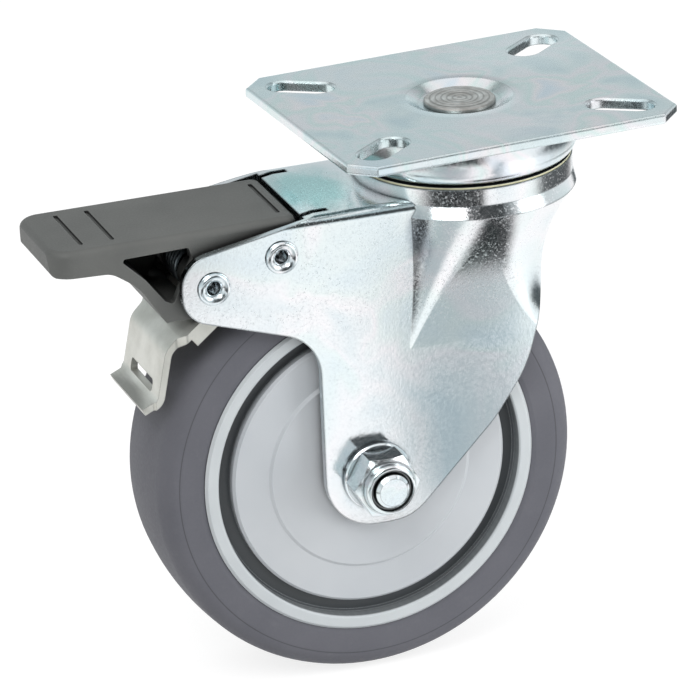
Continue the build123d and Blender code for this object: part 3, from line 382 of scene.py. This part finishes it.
raceZinc = dict(plateZinc, cloudSize=0.02, roughLow=0.14, roughHigh=0.28, veilAmount=0.6)

ballSteel = dict(
    boltZinc,
    tints=[(0.3, (0.70, 0.71, 0.72)), (0.7, (0.80, 0.80, 0.81))],
    roughLow=0.05,
    roughHigh=0.12,
)
wireSteel = dict(
    boltZinc,
    tints=[(0.3, (0.10, 0.10, 0.10)), (0.7, (0.16, 0.16, 0.17))],
    roughLow=0.25,
    roughHigh=0.4,
)

paint(["top_plate"], makeZinc("plateZinc", dict(plateZinc, dimple=plateDimple)))
paint(["fork"], makeZinc("forkZinc", forkZinc))
paint(["upper_race", "lock_ring"], makeZinc("raceZinc", raceZinc))
boltNodes = ["axle_bolt", "axle_nut", "axle_washers", "axle_sleeve", "axle_spacers"]
boltNodes += ["rear_rivet", "front_rivet", "pedal_bush", "arm_bush"]
paint(boltNodes, makeZinc("boltZinc", boltZinc))
bearingNodes = ["upper_balls", "lower_balls", "bearing_balls", "bearing_inner_rings", "bearing_outer_rings"]
paint(bearingNodes + ["bearing_shields"], makeZinc("ballSteel", ballSteel))
paint(["pedal_spring"], makeZinc("wireSteel", wireSteel))
print("zinc and steel finishes done")


pinSteel = {
    "axis": (0, 0, 0),
    "dark": (0.46, 0.45, 0.43),
    "light": (0.72, 0.72, 0.70),
    "ringPitch": 0.0016,
    "ringDepth": 0.00022,
    "ringStrength": 0.5,
    # painted shade in the turning grooves and round the pin's foot
    "ringShade": 0.55,
    "ringShadeColour": (0.20, 0.20, 0.19),
    "ringShows": (0.2, 0.9),
    "dirtSize": 0.004,
    "dirtGrain": (4.0, 0.6),   # detail and roughness
    "dirtShows": (0.35, 0.65),
    "dirtRough": (0.3, 0.7),
    "recessDepth": 0.002,
    "rough": (0.42, 0.28),
    "edge": 0.0003,
}


def makeTurned(name, look):
    mat, tree, shader = startMaterial(name)
    place = objectPlace(tree, look["axis"])
    turns = combine(tree, "MULTIPLY", radiusFrom(tree, look["axis"]), 2 * math.pi / look["ringPitch"])
    rings = addNode(tree, "Math", {"operation": "SINE"}, {0: turns}).outputs[0]
    dirtAndPaintedShade = grain(tree, place, look["dirtSize"], *look["dirtGrain"])
    shade = blendColour(tree, spread(tree, dirtAndPaintedShade, *look["dirtShows"]), look["dark"], look["light"])
    # painted shade in the turning grooves, on top of their bump
    ringShadeMask = spread(tree, rings, *look["ringShows"], 0.0, look["ringShade"])
    shade = blendColour(tree, ringShadeMask, shade, look["ringShadeColour"])
    # painted shade round the pin's foot and in other recesses
    shade = blendColour(tree, recessShadeMask(tree, look["recessDepth"]), shade, look["ringShadeColour"])
    tree.links.new(shade, shader.inputs["Base Color"])
    tree.links.new(spread(tree, dirtAndPaintedShade, *look["dirtRough"], *look["rough"]), shader.inputs["Roughness"])
    shader.inputs["Metallic"].default_value = 1.0
    bump = raised(tree, rings, look["ringDepth"], look["ringStrength"], softEdges(tree, look["edge"]))
    tree.links.new(bump, shader.inputs["Normal"])
    return mat


paint(["kingpin"], makeTurned("pinSteel", pinSteel))
print("kingpin done")


mouldGrain = {"blotch": (3.0, 0.5), "pores": (3.0, 0.6), "dust": (5.0, 0.7)}   # detail and roughness
mouldShows = {"blotch": (0.35, 0.65), "pores": (0.3, 0.7), "dust": (0.58, 0.80)}   # ranges that show
poreStrength = 0.6


def bandMask(tree, look):   # a darker ring round the axle
    inner, outer, soft = look["band"]
    reach = radiusFrom(tree, look["centre"], "XZ")
    start = spread(tree, reach, inner, inner + soft)
    end = spread(tree, reach, outer + soft, outer)
    return combine(tree, "MULTIPLY", combine(tree, "MULTIPLY", start, end), look["bandAmount"])


def makeGrained(name, look):   # plastics, rubber and bare steel
    mat, tree, shader = startMaterial(name)
    place = objectPlace(tree, look["centre"])
    blotch = grain(tree, place, look["blotchSize"], *mouldGrain["blotch"])
    pores = grain(tree, place, look["grainSize"], *mouldGrain["pores"])
    dust = grain(tree, place, look["dustSize"], *mouldGrain["dust"])
    shade = blendColour(tree, spread(tree, blotch, *mouldShows["blotch"]), look["dark"], look["light"])
    dusty = spread(tree, dust, *mouldShows["dust"], 0.0, look["dustAmount"])
    shade = blendColour(tree, dusty, shade, look["dustColour"])
    if "band" in look:
        # on the wheel core the band is painted shade in the rim groove; on the tyre it is a dark moulding
        # line
        shade = blendColour(tree, bandMask(tree, look), shade, look["recessShadeColour"])
    shade = addStainsAndPaintedLight(tree, shade, look)
    shade = addEdges(tree, shade, look)
    # painted shade: darker in corners, holes and recesses
    shade = blendColour(tree, recessShadeMask(tree, look["recessDepth"]), shade, look["recessShadeColour"])
    tree.links.new(shade, shader.inputs["Base Color"])
    tree.links.new(spread(tree, pores, *mouldShows["pores"], *look["rough"]), shader.inputs["Roughness"])
    shader.inputs["Metallic"].default_value = look.get("metallic", 0.0)
    shader.inputs["IOR"].default_value = look["ior"]
    bump = raised(tree, pores, look["grainDepth"], poreStrength, softEdges(tree, look["edge"]))
    tree.links.new(bump, shader.inputs["Normal"])
    return mat


pedalPlastic = {
    "centre": (-0.1, 0, -0.03),
    "dark": (0.108, 0.112, 0.107),
    "light": (0.128, 0.132, 0.126),
    "blotchSize": 0.02,
    "grainSize": 0.0006,
    "grainDepth": 0.00006,
    "dustSize": 0.003,
    "dustAmount": 0.18,
    "dustColour": (0.19, 0.20, 0.19),
    "rough": (0.48, 0.62),
    "ior": 1.48,
    "edge": 0.0004,
    "edgeWidth": 0.0006,
    "edgeAmount": 0.35,
    "edgeColour": (0.22, 0.23, 0.22),
    # painted shade, near black inside the pedal's windows and other recesses
    "recessDepth": 0.012,
    "recessShadeColour": (0.008, 0.008, 0.008),
}

tyreRubber = {
    "centre": (-0.037, 0, -0.1),
    "dark": (0.101, 0.103, 0.121),
    "light": (0.120, 0.121, 0.140),
    "blotchSize": 0.03,
    "grainSize": 0.0009,
    "grainDepth": 0.00005,
    "dustSize": 0.004,
    "dustAmount": 0.12,
    "dustColour": (0.24, 0.23, 0.25),
    "rough": (0.55, 0.70),
    "ior": 1.5,
    "edge": 0.0005,
    "edgeWidth": 0.0005,
    "edgeAmount": 0.3,
    "edgeColour": (0.20, 0.20, 0.22),
    "recessDepth": 0.003,
    "recessShadeColour": (0.03, 0.03, 0.035),
}

corePlastic = {
    "centre": (-0.037, 0, -0.1),
    "dark": (0.503, 0.538, 0.556),
    "light": (0.557, 0.590, 0.606),
    "blotchSize": 0.025,
    "grainSize": 0.0008,
    "grainDepth": 0.00002,
    "dustSize": 0.003,
    "dustAmount": 0.08,
    "dustColour": (0.50, 0.52, 0.54),
    "rough": (0.34, 0.44),
    "ior": 1.46,
    "edge": 0.0003,
    "edgeWidth": 0.0005,
    "edgeAmount": 0.4,
    "edgeColour": (0.80, 0.86, 0.90),
    "recessDepth": 0.004,
    "recessShadeColour": (0.03, 0.035, 0.04),
}

coverPlastic = dict(corePlastic, dark=(0.480, 0.508, 0.535), light=(0.538, 0.561, 0.584), blotchSize=0.04)

sealGrease = dict(
    corePlastic,
    dark=(0.58, 0.56, 0.34),
    light=(0.78, 0.76, 0.50),
    blotchSize=0.004,
    rough=(0.25, 0.4),
    dustAmount=0.0,
)
insertPlastic = dict(
    corePlastic,
    dark=(0.50, 0.53, 0.54),
    light=(0.62, 0.64, 0.64),
    blotchSize=0.003,
    rough=(0.25, 0.4),
)

armSteel = {
    "centre": (-0.09, 0, -0.05),
    "metallic": 0.8,
    "dark": (0.58, 0.58, 0.535),
    "light": (0.70, 0.70, 0.655),
    "blotchSize": 0.009,
    "grainSize": 0.0007,
    "grainDepth": 0.00004,
    "dustSize": 0.0016,
    "dustAmount": 0.30,
    "dustColour": (0.46, 0.46, 0.42),
    "rough": (0.34, 0.48),
    "ior": 1.5,
    "edge": 0.00015,
    "edgeWidth": 0.0004,
    "edgeAmount": 0.7,
    "edgeColour": (0.26, 0.26, 0.24),
    "recessDepth": 0.003,
    "recessShadeColour": (0.12, 0.12, 0.11),
    "stainsAndPaintedLight": [   # darker patch on the lip below the toe plate
        {
            "centre": (-0.1015, 0, -0.0715),
            "size": (0.0035, 0.020, 0.0035),
            "amount": 0.8,
            "colour": (0.27, 0.27, 0.25),
        },
    ],
}

tyreSeam = {"band": (0.0562, 0.0565, 0.0002), "bandAmount": 0.6}   # inner and outer radius, soft edge
# painted shade in the groove between the rim ring and the hub cover
rimGrooveShade = {"band": (0.0405, 0.0449, 0.0003), "bandAmount": 0.93}

pedalMat = makeGrained("pedalPlastic", pedalPlastic)
paint(["brake_pedal"], pedalMat)
paint(["tyre"], makeGrained("tyreRubber", dict(tyreRubber, **tyreSeam)))
paint(["wheel_core"], makeGrained("corePlastic", dict(corePlastic, **rimGrooveShade)))
paint(["hub_cover_near", "hub_cover_far"], makeGrained("coverPlastic", coverPlastic))
paint(["race_seal"], makeGrained("sealGrease", sealGrease))
paint(["nut_insert"], makeGrained("insertPlastic", insertPlastic))
paint(["brake_arm"], makeGrained("armSteel", armSteel))
print("plastics, rubber and bare steel done")


pedalRib = {
    "body": "pedal",
    "slot": "pedal_plastic",
    "y": (0.0088, 0.0104),   # beside the spring, inside the side walls
    "outline": [
        (-0.1085, -0.0243),
        (-0.0855, -0.0243),
        (-0.0848, -0.0290),
        (-0.0915, -0.0421),
        (-0.0953, -0.0408),
        (-0.1010, -0.0330),
    ],
    "bevel": 0.0003,
}


def makePedalRib(look, mat):
    bpy.ops.object.select_all(action="DESELECT")
    corners = look["outline"]
    bpy.ops.mesh.primitive_circle_add(vertices=len(corners), radius=0.01, fill_type="NGON")
    rib = bpy.context.object
    rib.name = "pedal_rib"
    for vertex, (x, z) in zip(rib.data.vertices, corners):
        vertex.co = (x, look["y"][0], z)
    bpy.ops.object.mode_set(mode="EDIT")
    bpy.ops.mesh.select_all(action="SELECT")
    thickness = look["y"][1] - look["y"][0]
    bpy.ops.mesh.extrude_region_move(TRANSFORM_OT_translate={"value": (0, thickness, 0)})
    bpy.ops.mesh.select_all(action="SELECT")
    bpy.ops.mesh.normals_make_consistent(inside=False)
    bpy.ops.object.mode_set(mode="OBJECT")
    edge = rib.modifiers.new("ribEdge", "BEVEL")
    edge.width = look["bevel"]
    edge.segments = 2
    bpy.ops.object.modifier_apply(modifier=edge.name)
    rib.data.materials.append(mat)
    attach(rib, look["body"])


makePedalRib(pedalRib, pedalMat)
print("pedal rib done")


studio = {
    "floorZ": cadBox[0][2] - 0.0002,   # just under the wheel
    "floorSize": 14.0,
    "floorGlow": 0.80,
    "floorColour": (0.32, 0.32, 0.32),    # as the camera and shiny faces see it
    "bounceColour": (0.80, 0.80, 0.80),   # as it lights the object
    "worldLevel": 0.62,
}


def seenRays(tree):
    path = addNode(tree, "LightPath")
    seen = combine(tree, "MAXIMUM", path.outputs["Is Camera Ray"], path.outputs["Is Glossy Ray"])
    return combine(tree, "MAXIMUM", seen, path.outputs["Is Transmission Ray"])


def addFlat(name, size, place, turn=(0, 0, 0)):   # turn in degrees
    bpy.ops.object.select_all(action="DESELECT")
    angles = [math.radians(t) for t in turn]
    bpy.ops.mesh.primitive_plane_add(size=size, location=place, rotation=angles)
    flat = bpy.context.object
    flat.name = name
    return flat


def makeFloor(look):
    floor = addFlat("studioFloor", look["floorSize"], (0, 0, look["floorZ"]))
    mat, tree, shader = startMaterial("studioFloor")
    tree.nodes.remove(shader)
    glow = addNode(tree, "Emission", {}, {"Strength": look["floorGlow"]})
    shown = addNode(tree, "BsdfDiffuse", {}, {"Color": (*look["floorColour"], 1)})
    bounce = addNode(tree, "BsdfDiffuse", {}, {"Color": (*look["bounceColour"], 1)})
    white = addNode(tree, "AddShader", {}, {0: glow.outputs[0], 1: shown.outputs[0]})
    mixed = addNode(tree, "MixShader", {}, {0: seenRays(tree), 1: bounce.outputs[0], 2: white.outputs[0]})
    tree.links.new(mixed.outputs[0], tree.nodes["Material Output"].inputs["Surface"])
    floor.data.materials.append(mat)


# cards stand round the object as in a product studio: only shiny faces see them
def card(centre, size, level, soft, turn=(0, 0, 0)):
    return {"centre": centre, "size": size, "level": level, "soft": soft, "turn": turn}


cards = {   # place, size, brightness, soft edge, turn in degrees
    "frontFlag": card((-0.3, -2.2, 1.25), (3.6, 2.3), 0.05, 0.10, (90, 0, 0)),
    "rightFlag": card((0.62, 0.15, -0.158), (0.75, 0.8), 0.10, 0.15),
    "nearFlag": card((0.032, -0.082, -0.157), (0.14, 0.074), 0.03, 0.30),
    "valleyFlag": card((-0.270, -0.135, -0.158), (0.19, 0.15), 0.02, 0.35),
    "sideFlag": card((-0.125, -0.190, -0.158), (0.19, 0.17), 0.55, 0.25),
    "stepFlag": card((0.040, -0.138, -0.1575), (0.060, 0.070), 0.55, 0.30, (0, 0, 19)),
    "legFlag": card((0.068, -0.235, -0.158), (0.052, 0.240), 0.55, 0.18, (0, 0, 19)),
}
crownFlag = {   # reach in metres, arc in degrees
    "size": 2.8,
    "height": -0.1585,
    "reach": (0.315, 1.3),
    "arc": (-158, -93),
    "fadeReach": 0.02,
    "fadeArc": (20, 9),
    "level": 0.02,
}
flagTint = (0.90, 1.0, 1.04)
drape = {
    "sides": 96,
    "radius": 3.0,
    "bottom": -0.16,
    "top": 3.4,
    "levels": (0.95, 0.22),   # at the bottom and at the top
    "tint": (0.93, 1.0, 1.02),
}


def showToGlossOnly(flat, level, tint, mask=None):
    mat, tree, shader = startMaterial(flat.name)
    tree.nodes.remove(shader)
    surface = addNode(tree, "Emission", {}, {"Color": (*tint, 1), "Strength": level(tree)}).outputs[0]
    if mask:
        clear = addNode(tree, "BsdfTransparent").outputs[0]
        surface = addNode(tree, "MixShader", {}, {0: mask(tree), 1: clear, 2: surface}).outputs[0]
    tree.links.new(surface, tree.nodes["Material Output"].inputs["Surface"])
    flat.data.materials.append(mat)
    flat.visible_camera = flat.visible_diffuse = flat.visible_shadow = False
    flat.visible_transmission = False


def boxMask(tree, soft):   # fades out towards the card's sides
    parts = addNode(tree, "SeparateXYZ", {}, {"Vector": objectPlace(tree)})
    masks = []
    for side in ("X", "Y"):
        inwards = combine(tree, "SUBTRACT", 0.5, combine(tree, "ABSOLUTE", parts.outputs[side], 0))
        masks.append(smoothSpread(tree, inwards, 0, soft))
    return combine(tree, "MULTIPLY", *masks)


def sectorMask(tree, look):   # part of a ring round the object
    parts = addNode(tree, "SeparateXYZ", {}, {"Vector": objectPlace(tree)})
    reach = radiusFrom(tree, (0, 0, 0))
    angle = combine(tree, "ARCTAN2", parts.outputs["Y"], parts.outputs["X"])
    inner, outer = look["reach"]
    start, end = (math.radians(a) for a in look["arc"])
    startFade, endFade = (math.radians(a) for a in look["fadeArc"])
    nearEdge = smoothSpread(tree, reach, inner, inner + look["fadeReach"])
    farEdge = smoothSpread(tree, reach, outer, outer - look["fadeReach"])
    startEdge = smoothSpread(tree, angle, start, start + startFade)
    endEdge = smoothSpread(tree, angle, end + endFade, end)
    radial = combine(tree, "MULTIPLY", nearEdge, farEdge)
    angular = combine(tree, "MULTIPLY", startEdge, endEdge)
    return combine(tree, "MULTIPLY", radial, angular)


def placeCards():
    for name, look in cards.items():
        flat = addFlat(name, 1, look["centre"], look["turn"])
        flat.scale = (*look["size"], 1)
        showToGlossOnly(
            flat, lambda tree: look["level"], flagTint, lambda tree: boxMask(tree, look["soft"])
        )
    flat = addFlat("crownFlag", crownFlag["size"], (0, 0, crownFlag["height"]))
    showToGlossOnly(
        flat, lambda tree: crownFlag["level"], flagTint, lambda tree: sectorMask(tree, crownFlag)
    )


def placeDrape(look):
    half = (look["top"] - look["bottom"]) / 2
    bpy.ops.object.select_all(action="DESELECT")
    bpy.ops.mesh.primitive_cylinder_add(
        vertices=look["sides"],
        radius=look["radius"],
        depth=2 * half,
        end_fill_type="NOTHING",
        location=(0, 0, look["bottom"] + half),
    )
    wall = bpy.context.object
    wall.name = "studioDrape"

    def level(tree):   # darker towards the top
        height = addNode(tree, "SeparateXYZ", {}, {"Vector": objectPlace(tree)}).outputs["Z"]
        return spread(tree, height, -half, half, *look["levels"])

    showToGlossOnly(wall, level, look["tint"])


def makeWorld(look):
    world = bpy.data.worlds.new("studioWorld")
    bpy.context.scene.world = world
    world.use_nodes = True
    tree = world.node_tree
    back = tree.nodes["Background"]
    back.inputs["Color"].default_value = (1, 1, 1, 1)
    tree.links.new(spread(tree, seenRays(tree), 0.0, 1.0, look["worldLevel"], 1.0), back.inputs["Strength"])


lamps = {
    "keyLamp": {
        "place": (-0.7, -0.9, 1.1),
        "aim": (0, 0, -0.05),
        "size": (0.8, 0.8),
        "watts": 9.0,
        "mirrored": True,
    },
    "sideLamp": {
        "place": (1.0, -0.7, 0.5),
        "aim": (0, 0, -0.05),
        "size": (0.5, 0.9),
        "watts": 4.0,
        "mirrored": True,
    },
    "wheelLamp": {
        "place": (0.20, -0.22, -0.10),
        "aim": (-0.02, -0.02, -0.11),
        "size": (0.14, 0.10),
        "watts": 0.26,
        "mirrored": False,
    },
}


def addLamp(name, look):
    data = bpy.data.lights.new(name, "AREA")
    data.shape = "RECTANGLE"
    data.size, data.size_y = look["size"]
    data.energy = look["watts"]
    lamp = bpy.data.objects.new(name, data)
    bpy.context.scene.collection.objects.link(lamp)
    aim = Vector(look["aim"])
    lamp.location = look["place"]
    lamp.rotation_euler = (aim - lamp.location).to_track_quat("-Z", "Y").to_euler()
    lamp.visible_glossy = look["mirrored"]


makeFloor(studio)
makeWorld(studio)
placeCards()
placeDrape(drape)
for lampName, lampLook in lamps.items():
    addLamp(lampName, lampLook)
bpy.context.scene.view_settings.view_transform = "Standard"
print("studio ready")
